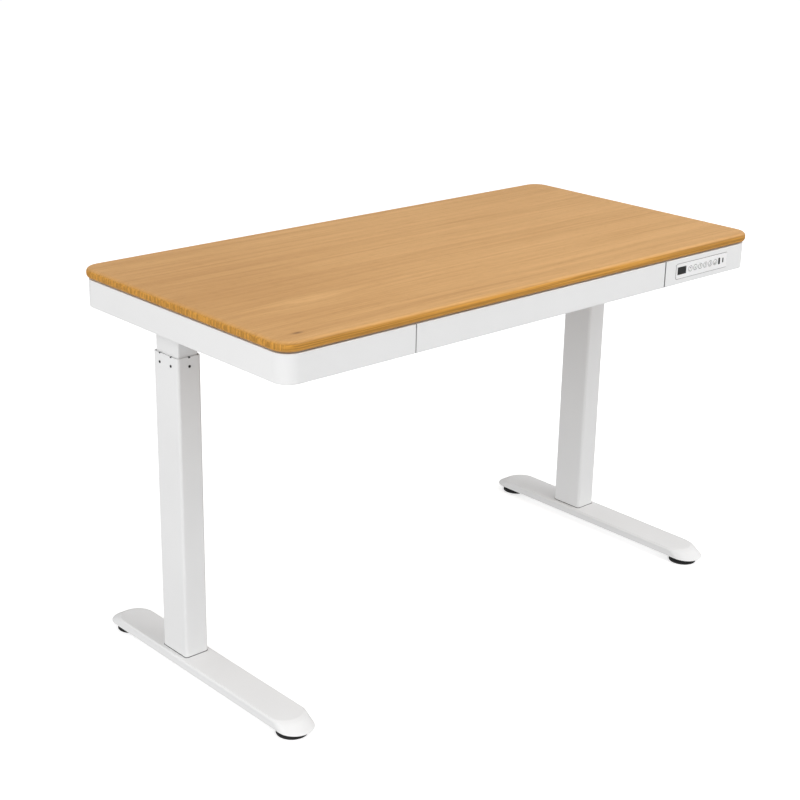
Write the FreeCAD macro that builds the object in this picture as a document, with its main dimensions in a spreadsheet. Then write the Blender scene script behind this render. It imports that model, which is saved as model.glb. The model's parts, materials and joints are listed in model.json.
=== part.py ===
"""Electric height adjustable standing desk, as a parametric FreeCAD document.

A wooden top sits on a white steel apron with a shallow drawer and a control panel in
its front. Two telescopic columns carry it on long flat feet. One motor turns a cross
shaft, whose bevel gears turn a lead screw in each column.

Frame: millimetres, +Z up, +X to the right, front of the desk at -Y. The origin is on
the floor under the middle of the top, and the desk is modelled at its lowest height.
"""
import FreeCAD, Part
import math
import os
import re

import Sketcher
from FreeCAD import Placement, Rotation, Vector

doc = FreeCAD.newDocument("standing_desk")

# ---------------------------------------------------------------- driving dimensions
DIMENSIONS = {
    "desk_width": (1200, "top, left to right"),
    "desk_depth": (600, "top, front to back"),
    "desk_height": (734, "top surface above the floor at the lowest setting"),
    "top_thick": (19, "thickness of the wooden top"),
    "top_corner": (35, "corner radius of the top in plan"),
    "top_edge": (8, "rounding of the top's edge"),
    "apron_set": (4, "how far the apron stands in from the top's edge"),
    "apron_tall": (51.3, "height of the apron"),
    "apron_gap": (2, "shadow gap between apron and top"),
    "apron_wall": (2, "apron sheet thickness"),
    "apron_fold": (1.6, "outer radius of the apron's folds"),
    "apron_flange": (20, "width of the apron's upper flange"),
    "apron_lip": (10, "width of the apron's lower flange"),
    "apron_seam": (450, "half length of the rear apron piece"),
    "drawer_mid": (7, "drawer centre line, right of the desk's middle"),
    "drawer_open": (654, "width between the front apron pieces"),
    "drawer_gap": (2.4, "gap at each end of the drawer front"),
    "drawer_fold": (14, "depth of the drawer front's folded edges"),
    "drawer_side": (28, "space beside the drawer box for its slides"),
    "drawer_deep": (274, "drawer box, front to back"),
    "drawer_tall": (36, "drawer box height"),
    "drawer_wall": (1.5, "drawer box wall"),
    "column_x": (541, "column centre from the desk's middle"),
    "column_y": (81, "column centre behind the desk's middle"),
    "outer_wide": (50, "outer tube, left to right"),
    "outer_deep": (75, "outer tube, front to back"),
    "outer_round": (6, "outer tube corner radius"),
    "outer_top": (614, "rim of the outer tube"),
    "tube_wall": (2, "wall of both tubes"),
    "inner_wide": (43, "inner tube, left to right"),
    "inner_deep": (68, "inner tube, front to back"),
    "inner_foot": (60, "lower end of the inner tube at the lowest setting"),
    "head_base": (646, "underside of the column head"),
    "head_long": (174, "column head, front to back"),
    "head_wide": (52, "column head, left to right"),
    "head_plate": (4, "column head plate thickness"),
    "rail_deep": (25, "cross rail, front to back"),
    "rail_tall": (40, "cross rail height"),
    "rail_long": (1150, "cross rail length"),
    "foot_long": (590, "foot, front to back"),
    "foot_wide": (71, "foot width"),
    "foot_y": (12, "foot centre behind the desk's middle"),
    "foot_under": (14, "underside of the foot above the floor"),
    "foot_top": (31, "top of the foot above the floor"),
    "foot_nose": (28, "run of the sloped nose at each end"),
    "foot_edge": (3.2, "bevel along the foot's top edge"),
    "foot_wall": (2.5, "foot sheet thickness"),
    "end_plate": (6, "welded end plate of the outer tube"),
    "pad_reach": (252, "leveller from the foot's centre"),
    "pad_radius": (29, "leveller pad radius"),
    "pad_tall": (8, "leveller pad rim height"),
    "stud_radius": (4, "leveller stud radius"),
    "screw_level": (597, "glide screws above the floor"),
    "tab_wide": (4, "glide collar tab width"),
    "tab_deep": (1.8, "glide collar tab below the rim"),
    "shaft_level": (684, "axis of the cross shaft above the floor"),
    "shaft_flats": (10, "cross shaft across its flats"),
    "gear_radius": (18, "bevel gear pitch radius"),
    "gear_slack": (0.5, "space between the two pitch cones"),
    "lead_radius": (6, "lead screw radius"),
    "lead_foot": (45, "lower end of the lead screw"),
    "push_radius": (15, "push tube radius"),
    "push_top": (555, "top of the push tube"),
    "box_wide": (60, "gearbox, left to right"),
    "box_deep": (68, "gearbox, front to back"),
    "box_tall": (58, "gearbox height"),
    "motor_radius": (21, "motor can radius"),
    "motor_long": (130, "motor can length"),
    "motor_y": (112, "motor axis behind the desk's middle"),
    "panel_x": (445, "control panel centre, right of the desk's middle"),
    "panel_z": (688.5, "control panel centre above the floor"),
    "panel_wide": (159, "control panel width"),
    "panel_tall": (29.4, "control panel height"),
    "plate_drop": (0.8, "panel plate centre below its row of keys"),
    "panel_proud": (1, "control panel plate thickness"),
    "key_radius": (6.3, "radius of a key"),
    "key_first": (-37, "first key from the panel centre"),
    "key_pitch": (15.6, "from one key to the next"),
    "lens_wide": (26, "display window width"),
    "lens_tall": (15, "display window height"),
    "lens_x": (-63, "display centre from the panel centre"),
    "port_a_x": (54.5, "USB-A centre from the panel centre"),
    "port_c_x": (66.5, "USB-C centre from the panel centre"),
}

sheet = doc.addObject("Spreadsheet::Sheet", "Dims")
for row, (alias, (number, note)) in enumerate(DIMENSIONS.items(), start=1):
    sheet.set(f"A{row}", note)
    sheet.set(f"B{row}", str(number))
    sheet.setAlias(f"B{row}", alias)
doc.recompute()

SUBPARTS = []
SIDES = {"left": -1, "right": 1}


def size(alias):
    """The number in one cell of the sheet."""
    return float(sheet.get(alias))


def formula(text):
    """An expression in which every dimension name points at its cell."""
    def point(match):
        word = match.group()
        return "Dims." + word if word in DIMENSIONS else word
    return re.sub(r"[a-z_]+", point, str(text))


def value(text):
    """The number that a formula gives now."""
    return float(sheet.evalExpression(formula(text)))


def bind(thing, **properties):
    """Bind properties to formulas; a double underscore stands for a dot."""
    for name, text in properties.items():
        thing.setExpression(name.replace("__", "."), formula(text))


def locate(thing, x="0", y="0", z="0"):
    """Bind an object's position."""
    bind(thing, Placement__Base__x=x, Placement__Base__y=y, Placement__Base__z=z)


# ---------------------------------------------------------------- bodies and sketches
def new_body(label, x="0", y="0", z="0"):
    """A sub-part made of sketches and features, placed at (x, y, z)."""
    body = doc.addObject("PartDesign::Body", label)
    body.Label = label
    locate(body, x, y, z)
    SUBPARTS.append(body)
    return body


def new_sketch(body, plane="XY", offset="0"):
    """A sketch on one of the body's origin planes, moved along the plane's normal."""
    sketch = body.newObject("Sketcher::SketchObject", body.Name + "_sketch")
    roles = {feature.Role: feature for feature in body.Origin.OriginFeatures}
    sketch.AttachmentSupport = [(roles[plane + "_Plane"], "")]
    sketch.MapMode = "FlatFace"
    bind(sketch, AttachmentOffset__Base__z=offset)
    return sketch


def constrain(sketch, kind, *where, text):
    """Add a dimensional constraint and bind it to a formula."""
    index = sketch.addConstraint(Sketcher.Constraint(kind, *where, value(text)))
    name = f"{kind}{index}"
    sketch.renameConstraint(index, name)
    sketch.setExpression("Constraints." + name, formula(text))


def draw_box(sketch, wide, tall, x="0", y="0"):
    """A rectangle by its size and centre."""
    first = sketch.GeometryCount
    low = Vector(value(x) - value(wide) / 2, value(y) - value(tall) / 2)
    right, up = Vector(value(wide), 0), Vector(0, value(tall))
    corners = [low, low + right, low + right + up, low + up]
    for start, end in zip(corners, corners[1:] + corners[:1]):
        sketch.addGeometry(Part.LineSegment(start, end), False)
    for step in range(4):
        kind = "Vertical" if step % 2 else "Horizontal"
        sketch.addConstraint(Sketcher.Constraint(kind, first + step))
        following = first + (step + 1) % 4
        sketch.addConstraint(Sketcher.Constraint("Coincident", first + step, 2, following, 1))
    constrain(sketch, "DistanceX", first, 1, first, 2, text=wide)
    constrain(sketch, "DistanceY", first + 1, 1, first + 1, 2, text=tall)
    constrain(sketch, "DistanceX", -1, 1, first, 1, text=f"{x} - ({wide}) / 2")
    constrain(sketch, "DistanceY", -1, 1, first, 1, text=f"{y} - ({tall}) / 2")


def draw_round_box(sketch, wide, tall, radius):
    """A rectangle with rounded corners about the sketch's origin."""
    half_x, half_y, bend = value(wide) / 2, value(tall) / 2, value(radius)
    lines, arcs = [], []
    for turn in range(4):
        spin = Rotation(Vector(0, 0, 1), 90 * turn)
        out, run = (half_y, half_x) if turn % 2 == 0 else (half_x, half_y)
        start = spin.multVec(Vector(bend - run, -out))
        end = spin.multVec(Vector(run - bend, -out))
        centre = spin.multVec(Vector(run - bend, bend - out))
        circle = Part.Circle(centre, Vector(0, 0, 1), bend)
        begin = (turn - 1) * math.pi / 2
        lines.append(sketch.addGeometry(Part.LineSegment(start, end), False))
        arcs.append(sketch.addGeometry(Part.ArcOfCircle(circle, begin, begin + math.pi / 2), False))
    for turn in range(4):
        kind = "Vertical" if turn % 2 else "Horizontal"
        sketch.addConstraint(Sketcher.Constraint(kind, lines[turn]))
        sketch.addConstraint(Sketcher.Constraint("Tangent", lines[turn], 2, arcs[turn], 1))
        following = lines[(turn + 1) % 4]
        sketch.addConstraint(Sketcher.Constraint("Tangent", arcs[turn], 2, following, 1))
        if turn:
            sketch.addConstraint(Sketcher.Constraint("Equal", arcs[0], arcs[turn]))
    base, east, top, west = lines
    constrain(sketch, "Radius", arcs[0], text=radius)
    constrain(sketch, "DistanceX", -1, 1, east, 1, text=f"({wide}) / 2")
    constrain(sketch, "DistanceX", west, 1, -1, 1, text=f"({wide}) / 2")
    constrain(sketch, "DistanceY", -1, 1, top, 1, text=f"({tall}) / 2")
    constrain(sketch, "DistanceY", base, 1, -1, 1, text=f"({tall}) / 2")


def draw_circle(sketch, radius, x="0", y="0"):
    """A circle by its radius and centre."""
    centre = Vector(value(x), value(y))
    index = sketch.addGeometry(Part.Circle(centre, Vector(0, 0, 1), value(radius)), False)
    constrain(sketch, "Radius", index, text=radius)
    constrain(sketch, "DistanceX", -1, 1, index, 3, text=x)
    constrain(sketch, "DistanceY", -1, 1, index, 3, text=y)


def draw_stadium(sketch, long, wide):
    """A slot shape about the sketch's origin, with its round ends along its Y axis."""
    axis, half = Vector(0, 0, 1), value(wide) / 2
    reach = (value(long) - value(wide)) / 2
    upper = Part.ArcOfCircle(Part.Circle(Vector(0, reach), axis, half), 0, math.pi)
    lower = Part.ArcOfCircle(Part.Circle(Vector(0, -reach), axis, half), math.pi, 2 * math.pi)
    right = Part.LineSegment(Vector(half, -reach), Vector(half, reach))
    left = Part.LineSegment(Vector(-half, reach), Vector(-half, -reach))
    top, base, east, west = [sketch.addGeometry(g, False) for g in (upper, lower, right, left)]
    joins = [(top, 1, east, 2), (top, 2, west, 1), (base, 1, west, 2), (base, 2, east, 1)]
    for join in joins:
        sketch.addConstraint(Sketcher.Constraint("Tangent", *join))
    sketch.addConstraint(Sketcher.Constraint("Equal", top, base))
    for arc in (top, base):
        sketch.addConstraint(Sketcher.Constraint("PointOnObject", arc, 3, -2))
    constrain(sketch, "Radius", top, text=f"({wide}) / 2")
    constrain(sketch, "DistanceY", -1, 1, top, 3, text=f"(({long}) - ({wide})) / 2")
    constrain(sketch, "DistanceY", base, 3, -1, 1, text=f"(({long}) - ({wide})) / 2")


def extrude(body, sketch, length, kind="Pad", flip=False):
    """Pad or pocket a sketch; the length is a formula."""
    before = body.Shape.Volume if kind == "Pocket" else 0
    feature = body.newObject("PartDesign::" + kind, body.Name + "_" + kind.lower())
    feature.Profile = sketch
    feature.Reversed = flip
    bind(feature, Length=length)
    sketch.Visibility = False
    doc.recompute()
    if kind == "Pocket" and before - body.Shape.Volume < 1e-3:
        raise RuntimeError(f"{body.Label}: a pocket cuts nothing")
    return feature


def dress(body, kind, amount, wanted):
    """Fillet or chamfer every edge of the body that the test picks."""
    base = body.Tip
    names = [f"Edge{n}" for n, edge in enumerate(base.Shape.Edges, start=1) if wanted(edge)]
    feature = body.newObject("PartDesign::" + kind, body.Name + "_" + kind.lower())
    feature.Base = (base, names)
    bind(feature, **{"Radius" if kind == "Fillet" else "Size": amount})
    doc.recompute()
    return feature


def along(direction, least=0.0):
    """A test for straight edges that run along one direction, at least so long."""
    def wanted(edge):
        if not isinstance(edge.Curve, Part.Line) or edge.Length <= least:
            return False
        return edge.Curve.Direction.cross(direction).Length < 1e-6
    return wanted


def at_height(level, tolerance=1e-3):
    """A test for edges that lie wholly at one height in the body's own frame."""
    def wanted(edge):
        box = edge.BoundBox
        return abs(box.ZMin - level) < tolerance and abs(box.ZMax - level) < tolerance
    return wanted


def turned(label, radii, x, y, z, bore=None):
    """A round piece on a vertical axis, stacked from (radius, from, to) steps."""
    body = new_body(label, x, y, z)
    for radius, low, high in radii:
        sketch = new_sketch(body, "XY", low)
        draw_circle(sketch, radius)
        extrude(body, sketch, f"{high} - ({low})")
    if bore:
        radius, low, high = bore
        sketch = new_sketch(body, "XY", low)
        draw_circle(sketch, radius)
        extrude(body, sketch, f"{high} - ({low})", "Pocket", flip=True)
    return body


# ---------------------------------------------------------------- Part primitives
def block(name, wide, deep, tall, x, y, z):
    """A box by its size, the centre of its plan and its underside."""
    box = doc.addObject("Part::Box", name)
    bind(box, Length=wide, Width=deep, Height=tall)
    locate(box, f"{x} - ({wide}) / 2", f"{y} - ({deep}) / 2", z)
    return box


def rod(name, radius, length, x, y, z, axis=Vector(0, 0, 1)):
    """A cylinder from a start point along an axis."""
    cylinder = doc.addObject("Part::Cylinder", name)
    bind(cylinder, Radius=radius, Height=length)
    cylinder.Placement = Placement(Vector(), Rotation(Vector(0, 0, 1), axis))
    locate(cylinder, x, y, z)
    return cylinder


def combine(kind, label, base, *tools):
    """Cut, fuse or intersect solids, one tool after another."""
    result = base
    for number, tool in enumerate(tools, start=1):
        step = doc.addObject("Part::" + kind, label if number == len(tools) else label + "_step")
        step.Base = result
        step.Tool = tool
        result = step
    result.Label = label
    SUBPARTS.append(result)
    return result


def group(label, shapes):
    """Identical small pieces as separate solids under one label."""
    feature = doc.addObject("Part::Feature", label)
    feature.Label = label
    feature.Shape = Part.makeCompound(shapes)
    feature.Placement = Placement()
    SUBPARTS.append(feature)
    return feature


def screw(start, axis, head_radius, head_tall, shank_radius, shank_long):
    """A pan head screw: its head ends at the start point and the shank goes on."""
    head = Part.makeCylinder(head_radius, head_tall, start - axis * head_tall, axis)
    head = head.makeChamfer(0.25 * head_tall, [head.Edges[2]])
    shank = Part.makeCylinder(shank_radius, shank_long + 0.5, start - axis * 0.5, axis)
    return head.fuse(shank).removeSplitter()


# ---------------------------------------------------------------- feet and levellers
def make_foot(side, sign):
    """A pressed steel foot: flat top, sloped noses, open underneath."""
    foot = new_body("foot_" + side, f"{sign} * column_x", "foot_y")
    base = new_sketch(foot, "XY", "foot_under")
    draw_stadium(base, "foot_long", "foot_wide")
    sections = []
    for inset in ("0", "foot_edge"):
        level = f"foot_top - foot_edge + {inset}"
        slope = f"2 * foot_nose * ({level} - foot_under) / (foot_top - foot_under)"
        section = new_sketch(foot, "XY", level)
        draw_stadium(section, f"foot_long - {slope} - 2 * {inset}", f"foot_wide - 2 * {inset}")
        sections.append(section)
    loft = foot.newObject("PartDesign::AdditiveLoft", foot.Name + "_loft")
    loft.Profile = base
    loft.Sections = sections
    loft.Ruled = True
    doc.recompute()
    hollow = new_sketch(foot, "XY", "foot_under")
    draw_stadium(hollow, "foot_long - 2 * foot_nose - 4 * foot_wall", "foot_wide - 2 * foot_wall")
    extrude(foot, hollow, "foot_top - foot_under - foot_wall", "Pocket", flip=True)
    bosses = new_sketch(foot, "XY", "foot_under")
    for end in (-1, 1):
        draw_circle(bosses, "3.2 * stud_radius", "0", f"{end} * pad_reach")
    extrude(foot, bosses, "foot_top - foot_under - 2")
    holes = new_sketch(foot, "XY", "foot_under")
    for end in (-1, 1):
        draw_circle(holes, "stud_radius + 0.4", "0", f"{end} * pad_reach")
    extrude(foot, holes, "foot_top - foot_under - 2", "Pocket", flip=True)
    bolts = new_sketch(foot, "XY", "foot_top")
    for across in (-1, 1):
        for forward in (-1, 1):
            draw_circle(bolts, "4.2", f"{across} * 15", f"column_y - foot_y + {forward} * 27")
    extrude(foot, bolts, "2 * foot_wall", "Pocket")


def make_leveller(name, sign, end):
    """A round pad on a threaded stud, screwed up into the foot."""
    place = (f"{sign} * column_x", f"foot_y + {end} * pad_reach", "0")
    steps = [("pad_radius", "0", "pad_tall"), ("pad_radius - 6", "pad_tall", "pad_tall + 4"),
             ("9", "pad_tall + 4", "foot_under - 0.5"), ("stud_radius", "foot_under - 0.5", "27.5")]
    pad = turned(name, steps, *place)
    dress(pad, "Chamfer", "2.5", at_height(size("pad_tall")))


# ---------------------------------------------------------------- columns
def make_outer_tube(side, sign):
    """The lower tube with its end plate, screw holes and rim notches."""
    tube = new_body("outer_tube_" + side, f"{sign} * column_x", "column_y", "foot_top")
    outline = new_sketch(tube)
    draw_box(outline, "outer_wide", "outer_deep")
    extrude(tube, outline, "outer_top - foot_top")
    upright = along(Vector(0, 0, 1), 100)
    dress(tube, "Fillet", "outer_round", upright)
    bore = new_sketch(tube, "XY", "outer_top - foot_top")
    draw_box(bore, "outer_wide - 2 * tube_wall", "outer_deep - 2 * tube_wall")
    extrude(tube, bore, "outer_top - foot_top - end_plate", "Pocket")
    inner_half = size("outer_wide") / 2 - size("tube_wall")

    def inside(edge):
        return upright(edge) and abs(abs(edge.BoundBox.Center.x) - inner_half) < 0.01
    dress(tube, "Fillet", "outer_round - tube_wall", inside)
    notches = new_sketch(tube, "XY", "outer_top - foot_top")
    for spot in (-17, 17):
        draw_box(notches, "outer_wide + 10", "tab_wide + 0.4", "0", str(spot))
    draw_box(notches, "tab_wide + 0.4", "outer_deep + 10")
    extrude(tube, notches, "tab_deep", "Pocket")
    level = "screw_level - foot_top"
    sideways = new_sketch(tube, "YZ", "-outer_wide")
    for spot in (-17, 17):
        draw_circle(sideways, "1.6", str(spot), level)
    extrude(tube, sideways, "2 * outer_wide", "Pocket", flip=True)
    through = new_sketch(tube, "XZ", "-outer_deep")
    draw_circle(through, "1.6", "0", level)
    extrude(tube, through, "2 * outer_deep", "Pocket", flip=True)
    threads = new_sketch(tube, "XY", "end_plate")
    for across in (-1, 1):
        for forward in (-1, 1):
            draw_circle(threads, "3.4", f"{across} * 15", f"{forward} * 27")
    extrude(tube, threads, "end_plate", "Pocket")


def make_glide_collar(side, sign):
    """The plastic collar between the tubes, with tabs that hook over the rim."""
    collar = new_body("glide_collar_" + side, f"{sign} * column_x", "column_y", "outer_top")
    wall = "2 * tube_wall"
    ring = new_sketch(collar, "XY", "-50")
    draw_box(ring, f"outer_wide - {wall}", f"outer_deep - {wall}")
    extrude(collar, ring, "49.5")
    dress(collar, "Fillet", "outer_round - tube_wall", along(Vector(0, 0, 1), 20))
    tabs = new_sketch(collar, "XY", "-tab_deep")
    for spot in (-17, 17):
        draw_box(tabs, "outer_wide + 0.4", "tab_wide", "0", str(spot))
    extrude(collar, tabs, "tab_deep + 0.3")
    end_tabs = new_sketch(collar, "XY", "-tab_deep")
    draw_box(end_tabs, "tab_wide", "outer_deep + 0.4")
    extrude(collar, end_tabs, "tab_deep + 0.3")
    bore = new_sketch(collar, "XY", "2")
    draw_round_box(bore, "inner_wide + 0.8", "inner_deep + 0.8", "outer_round - tube_wall")
    extrude(collar, bore, "60", "Pocket")


def make_inner_tube(side, sign):
    """The upper tube, welded under the column head."""
    tube = new_body("inner_tube_" + side, f"{sign} * column_x", "column_y", "inner_foot")
    outline = new_sketch(tube)
    draw_box(outline, "inner_wide", "inner_deep")
    extrude(tube, outline, "head_base - inner_foot")
    dress(tube, "Fillet", "outer_round - tube_wall", along(Vector(0, 0, 1), 100))
    bore = new_sketch(tube, "XY", "head_base - inner_foot")
    draw_box(bore, "inner_wide - 2 * tube_wall", "inner_deep - 2 * tube_wall")
    extrude(tube, bore, "head_base - inner_foot", "Pocket")


def make_column_head(side, sign):
    """The plate on top of a column, with upturned ends that hold the cross rails."""
    head = new_body("column_head_" + side, f"{sign} * column_x", "column_y", "head_base")
    plate = new_sketch(head)
    draw_box(plate, "head_wide", "head_long")
    extrude(head, plate, "head_plate")
    tabs = new_sketch(head)
    for end in (-1, 1):
        draw_box(tabs, "head_wide", "head_plate", "0", f"{end} * (head_long - head_plate) / 2")
    extrude(head, tabs, "desk_height - top_thick - head_base - 4")
    dress(head, "Fillet", "3", at_height(0))
    hole = new_sketch(head)
    draw_circle(hole, "lead_radius + 4")
    extrude(head, hole, "head_plate", "Pocket", flip=True)


def make_drive(side, sign):
    """Push tube and nut on the foot's side, lead screw and its gear on the top's side."""
    x = f"{sign} * column_x"
    floor = "foot_top + end_plate"
    turned("push_tube_" + side, [("push_radius", "0", f"push_top - ({floor})")],
           x, "column_y", floor, ("push_radius - 2", "0", f"push_top - ({floor})"))
    turned("drive_nut_" + side, [("push_radius - 2", "-15", "0"), ("push_radius + 2", "0", "28")],
           x, "column_y", "push_top", ("lead_radius + 0.08", "-15", "28"))
    turned("lead_screw_" + side, [("lead_radius", "0", "shaft_level - gear_radius / 2 - 1 - lead_foot")],
           x, "column_y", "lead_foot")


def toothed_cone(name):
    """A bevel gear blank with its apex at the origin, big end down, teeth as grooves."""
    gear = doc.addObject("PartDesign::Body", name)
    profile = new_sketch(gear, "XZ")
    big, small = size("gear_radius"), size("gear_radius") / 2
    slack, shaft = size("gear_slack"), size("lead_radius")
    points = [(shaft, -big - 5), (shaft + 4, -big - 5), (shaft + 4, -big),
              (big - slack, -big), (small - slack, -small), (shaft, -small)]
    ring = [Vector(x, z) for x, z in points]
    for start, end in zip(ring, ring[1:] + ring[:1]):
        profile.addGeometry(Part.LineSegment(start, end), False)
    for index in range(len(ring)):
        following = (index + 1) % len(ring)
        profile.addConstraint(Sketcher.Constraint("Coincident", index, 2, following, 1))
    turn = gear.newObject("PartDesign::Revolution", name + "_turn")
    turn.Profile = profile
    turn.ReferenceAxis = (profile, ["V_Axis"])
    turn.Angle = 360
    doc.recompute()
    groove = new_sketch(gear, "XY", "-gear_radius")
    draw_box(groove, "1.6", "4", "0", "gear_radius")
    extrude(gear, groove, "gear_radius / 2", "Pocket", flip=True)
    pattern = gear.newObject("PartDesign::PolarPattern", name + "_teeth")
    pattern.Originals = [gear.Tip]
    pattern.Axis = (profile, ["V_Axis"])
    pattern.Angle = 360
    pattern.Occurrences = 18
    gear.Tip = pattern
    doc.recompute()
    return gear


# ---------------------------------------------------------------- gearing and motor
def make_gearbox(side, sign):
    """A cast housing round the two bevel gears, open for the screw and the shaft."""
    x = f"{sign} * column_x"
    base = "head_base + head_plate"
    shell = block("gearbox_shell", "box_wide", "box_deep", "box_tall", x, "column_y", base)
    rounded = doc.addObject("Part::Fillet", "gearbox_round")
    rounded.Base = shell
    doc.recompute()
    upright = [n for n, edge in enumerate(shell.Shape.Edges, start=1) if along(Vector(0, 0, 1))(edge)]
    rounded.Edges = [(n, 6, 6) for n in upright]
    hollow = block("gearbox_hollow", "box_wide - 12", "box_deep - 14", "box_tall - 8",
                   x, "column_y", f"{base} + 4")
    below = rod("gearbox_below", "lead_radius + 1", "20", x, "column_y", f"{base} - 10")
    inboard = rod("gearbox_inboard", "shaft_flats * 0.7", "20",
                  f"{sign} * (column_x - box_wide / 2 - 10)", "column_y", "shaft_level",
                  Vector(sign, 0, 0))
    combine("Cut", "gearbox_" + side, rounded, hollow, below, inboard)


def make_motor():
    """Motor can with end cap and a reduction housing beside the right gearbox."""
    near = "column_x - box_wide / 2"
    case = block("reduction_case", "62", "88", "54", f"{near} - 31", "89", "657")
    passage = rod("reduction_passage", "shaft_flats * 0.7", "80", f"{near} - 70",
                  "column_y", "shaft_level", Vector(1, 0, 0))
    combine("Cut", "reduction_housing", case, passage)
    motor = new_body("motor", f"{near} - 62", "motor_y", "shaft_level + 2")
    for radius, start, length in (("motor_radius + 2", "0", "6"), ("motor_radius", "6", "motor_long - 24"),
                                  ("motor_radius + 0.8", "motor_long - 18", "16"),
                                  ("7", "motor_long - 2", "5")):
        ring = new_sketch(motor, "YZ", f"-({start})")
        draw_circle(ring, radius)
        extrude(motor, ring, length, flip=True)


def make_cross_shaft():
    """The hexagonal shaft between the gearboxes and the bevel gear on each end."""
    reach = "column_x - gear_radius / 2 - 1"
    shaft = doc.addObject("Part::Prism", "drive_shaft")
    shaft.Polygon = 6
    bind(shaft, Circumradius="shaft_flats / 1.7320508", Height=f"2 * ({reach})")
    shaft.Placement = Placement(Vector(), Rotation(Vector(0, 0, 1), Vector(1, 0, 0)))
    locate(shaft, f"-({reach})", "column_y", "shaft_level")
    SUBPARTS.append(shaft)


def make_gears():
    """Two gears on the lead screws and two on the cross shaft."""
    blank = toothed_cone("gear_blank")
    solid = blank.Shape.copy()
    level, back = size("shaft_level"), size("column_y")
    for side, sign in SIDES.items():
        gear = doc.addObject("Part::Feature", "spindle_gear_" + side)
        gear.Label = gear.Name
        gear.Shape = solid.copy()
        gear.Placement = Placement(Vector(sign * size("column_x"), back, level), Rotation())
        SUBPARTS.append(gear)
    pair = []
    for sign in SIDES.values():
        inward = Rotation(Vector(0, 0, -1), Vector(-sign, 0, 0))
        spin = Rotation(Vector(sign, 0, 0), 10)
        gear = solid.copy()
        gear.Placement = Placement(Vector(sign * size("column_x"), back, level), spin * inward)
        pair.append(gear)
    group("shaft_gears", pair)


# ---------------------------------------------------------------- frame and top
def make_rail(label, y):
    """A closed rectangular rail across the desk, under the top."""
    rail = new_body(label, "0", y, "desk_height - top_thick - rail_tall")
    for inset, kind in (("0", "Pad"), ("2 * tube_wall", "Pocket")):
        section = new_sketch(rail, "YZ", "-rail_long / 2")
        draw_box(section, f"rail_deep - {inset}", f"rail_tall - {inset}", "0", "rail_tall / 2")
        extrude(rail, section, "rail_long", kind, flip=(kind == "Pocket"))
        if kind == "Pad":
            dress(rail, "Fillet", "3", along(Vector(1, 0, 0), 100))


def make_desktop():
    """The wooden top with rounded corners and a rounded edge all round."""
    top = new_body("desktop", z="desk_height - top_thick")
    outline = new_sketch(top)
    draw_box(outline, "desk_width", "desk_depth")
    extrude(top, outline, "top_thick")
    dress(top, "Fillet", "top_corner", along(Vector(0, 0, 1)))
    upper = at_height(size("top_thick"))
    lower = at_height(0)
    dress(top, "Fillet", "top_edge", lambda edge: upper(edge) or lower(edge))


def apron_ring(label):
    """The whole rim as a folded channel: wall outside, flanges at top and bottom."""
    ring = new_body(label, z="desk_height - top_thick - apron_gap - apron_tall")
    wide, deep = "desk_width - 2 * apron_set", "desk_depth - 2 * apron_set"
    levels = (("0", "0", "apron_tall", "Pad"),
              ("apron_flange", "apron_tall - apron_wall", "apron_wall", "Pocket"),
              ("apron_wall", "apron_wall", "apron_tall - 2 * apron_wall", "Pocket"),
              ("apron_lip", "0", "apron_wall", "Pocket"))
    for inset, low, tall, kind in levels:
        plan = new_sketch(ring, "XY", low)
        draw_round_box(plan, f"{wide} - 2 * {inset}", f"{deep} - 2 * {inset}",
                       f"top_corner - apron_set - {inset}")
        extrude(ring, plan, tall, kind, flip=(kind == "Pocket"))
        if kind == "Pad":
            lower, upper = at_height(0), at_height(size("apron_tall"))
            dress(ring, "Fillet", "apron_fold", lambda edge: lower(edge) or upper(edge))
    return ring


def trim(body, x_from, x_to, y_from="-desk_depth", y_to="desk_depth"):
    """Remove everything of a body in one upright block, given in its own frame."""
    area = new_sketch(body, "XY", "-1")
    draw_box(area, f"{x_to} - ({x_from})", f"{y_to} - ({y_from})",
             f"({x_to} + ({x_from})) / 2", f"({y_to} + ({y_from})) / 2")
    extrude(body, area, "apron_tall + 2", "Pocket", flip=True)


def make_apron():
    """Left and right pieces that turn the front and back corners, and a rear piece."""
    edges = {"left": "drawer_mid - drawer_open / 2", "right": "drawer_mid + drawer_open / 2"}
    for side, sign in SIDES.items():
        piece = apron_ring("apron_" + side)
        away = f"{-sign} * desk_width"
        low, high = (away, edges[side]) if sign > 0 else (edges[side], away)
        trim(piece, low, high, "-desk_depth", "0")
        seam = f"{sign} * apron_seam"
        low, high = (away, seam) if sign > 0 else (seam, away)
        trim(piece, low, high, "-1", "desk_depth")
        if side == "right":
            window = new_sketch(piece, "XZ", "desk_depth / 2 - 12")
            centre = "panel_z - plate_drop - (desk_height - top_thick - apron_gap - apron_tall)"
            draw_box(window, "panel_wide - 6", "panel_tall - 6", "panel_x", centre)
            extrude(piece, window, "20", "Pocket", flip=True)
    rear = apron_ring("apron_rear")
    trim(rear, "-desk_width", "desk_width", "-desk_depth", "desk_depth / 2 - 40")
    for sign in (-1, 1):
        low, high = ("apron_seam", "desk_width") if sign > 0 else ("-desk_width", "-apron_seam")
        trim(rear, low, high)
    socket = new_sketch(rear, "XZ", "-(desk_depth / 2 + 8)")
    draw_box(socket, "28", "20.4", "200", "apron_tall / 2")
    extrude(rear, socket, "20", "Pocket", flip=True)


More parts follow.
